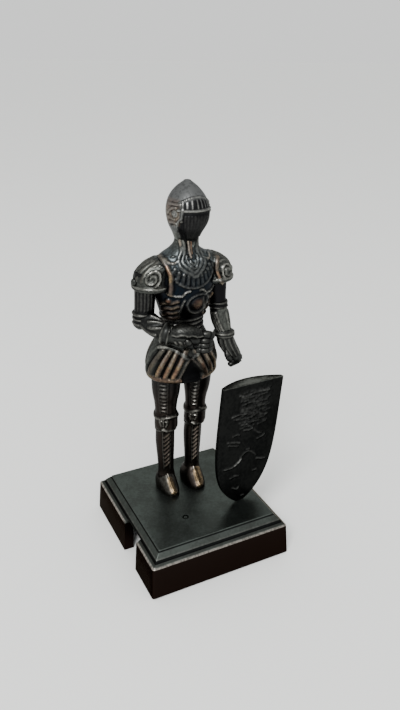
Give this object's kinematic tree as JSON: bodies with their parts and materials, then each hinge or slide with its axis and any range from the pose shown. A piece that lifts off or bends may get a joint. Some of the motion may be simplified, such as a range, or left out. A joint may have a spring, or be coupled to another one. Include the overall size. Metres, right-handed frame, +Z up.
{
  "type": "knight figurine",
  "caption": "Small cast-metal knight in full plate armour on a stepped hollow plinth with a side notch, a long shield standing at its left.",
  "frame": {"origin": "on the supporting plane, under the middle of the bounding box", "axes": "+Z up, -Y the way the knight faces, +X towards the knight's left"},
  "size_m": [0.0408, 0.0384, 0.0904],
  "materials": {
    "plinth": "dark grey-green lacquer, worn bright on the upper edge",
    "knight": "blackened antique bronze, raised lines rubbed to copper",
    "shield": "near-black satin lacquer"
  },
  "bodies": {
    "root": {"plinth": "plinth", "knight": "knight", "shield": "shield"}
  },
  "joints": []
}
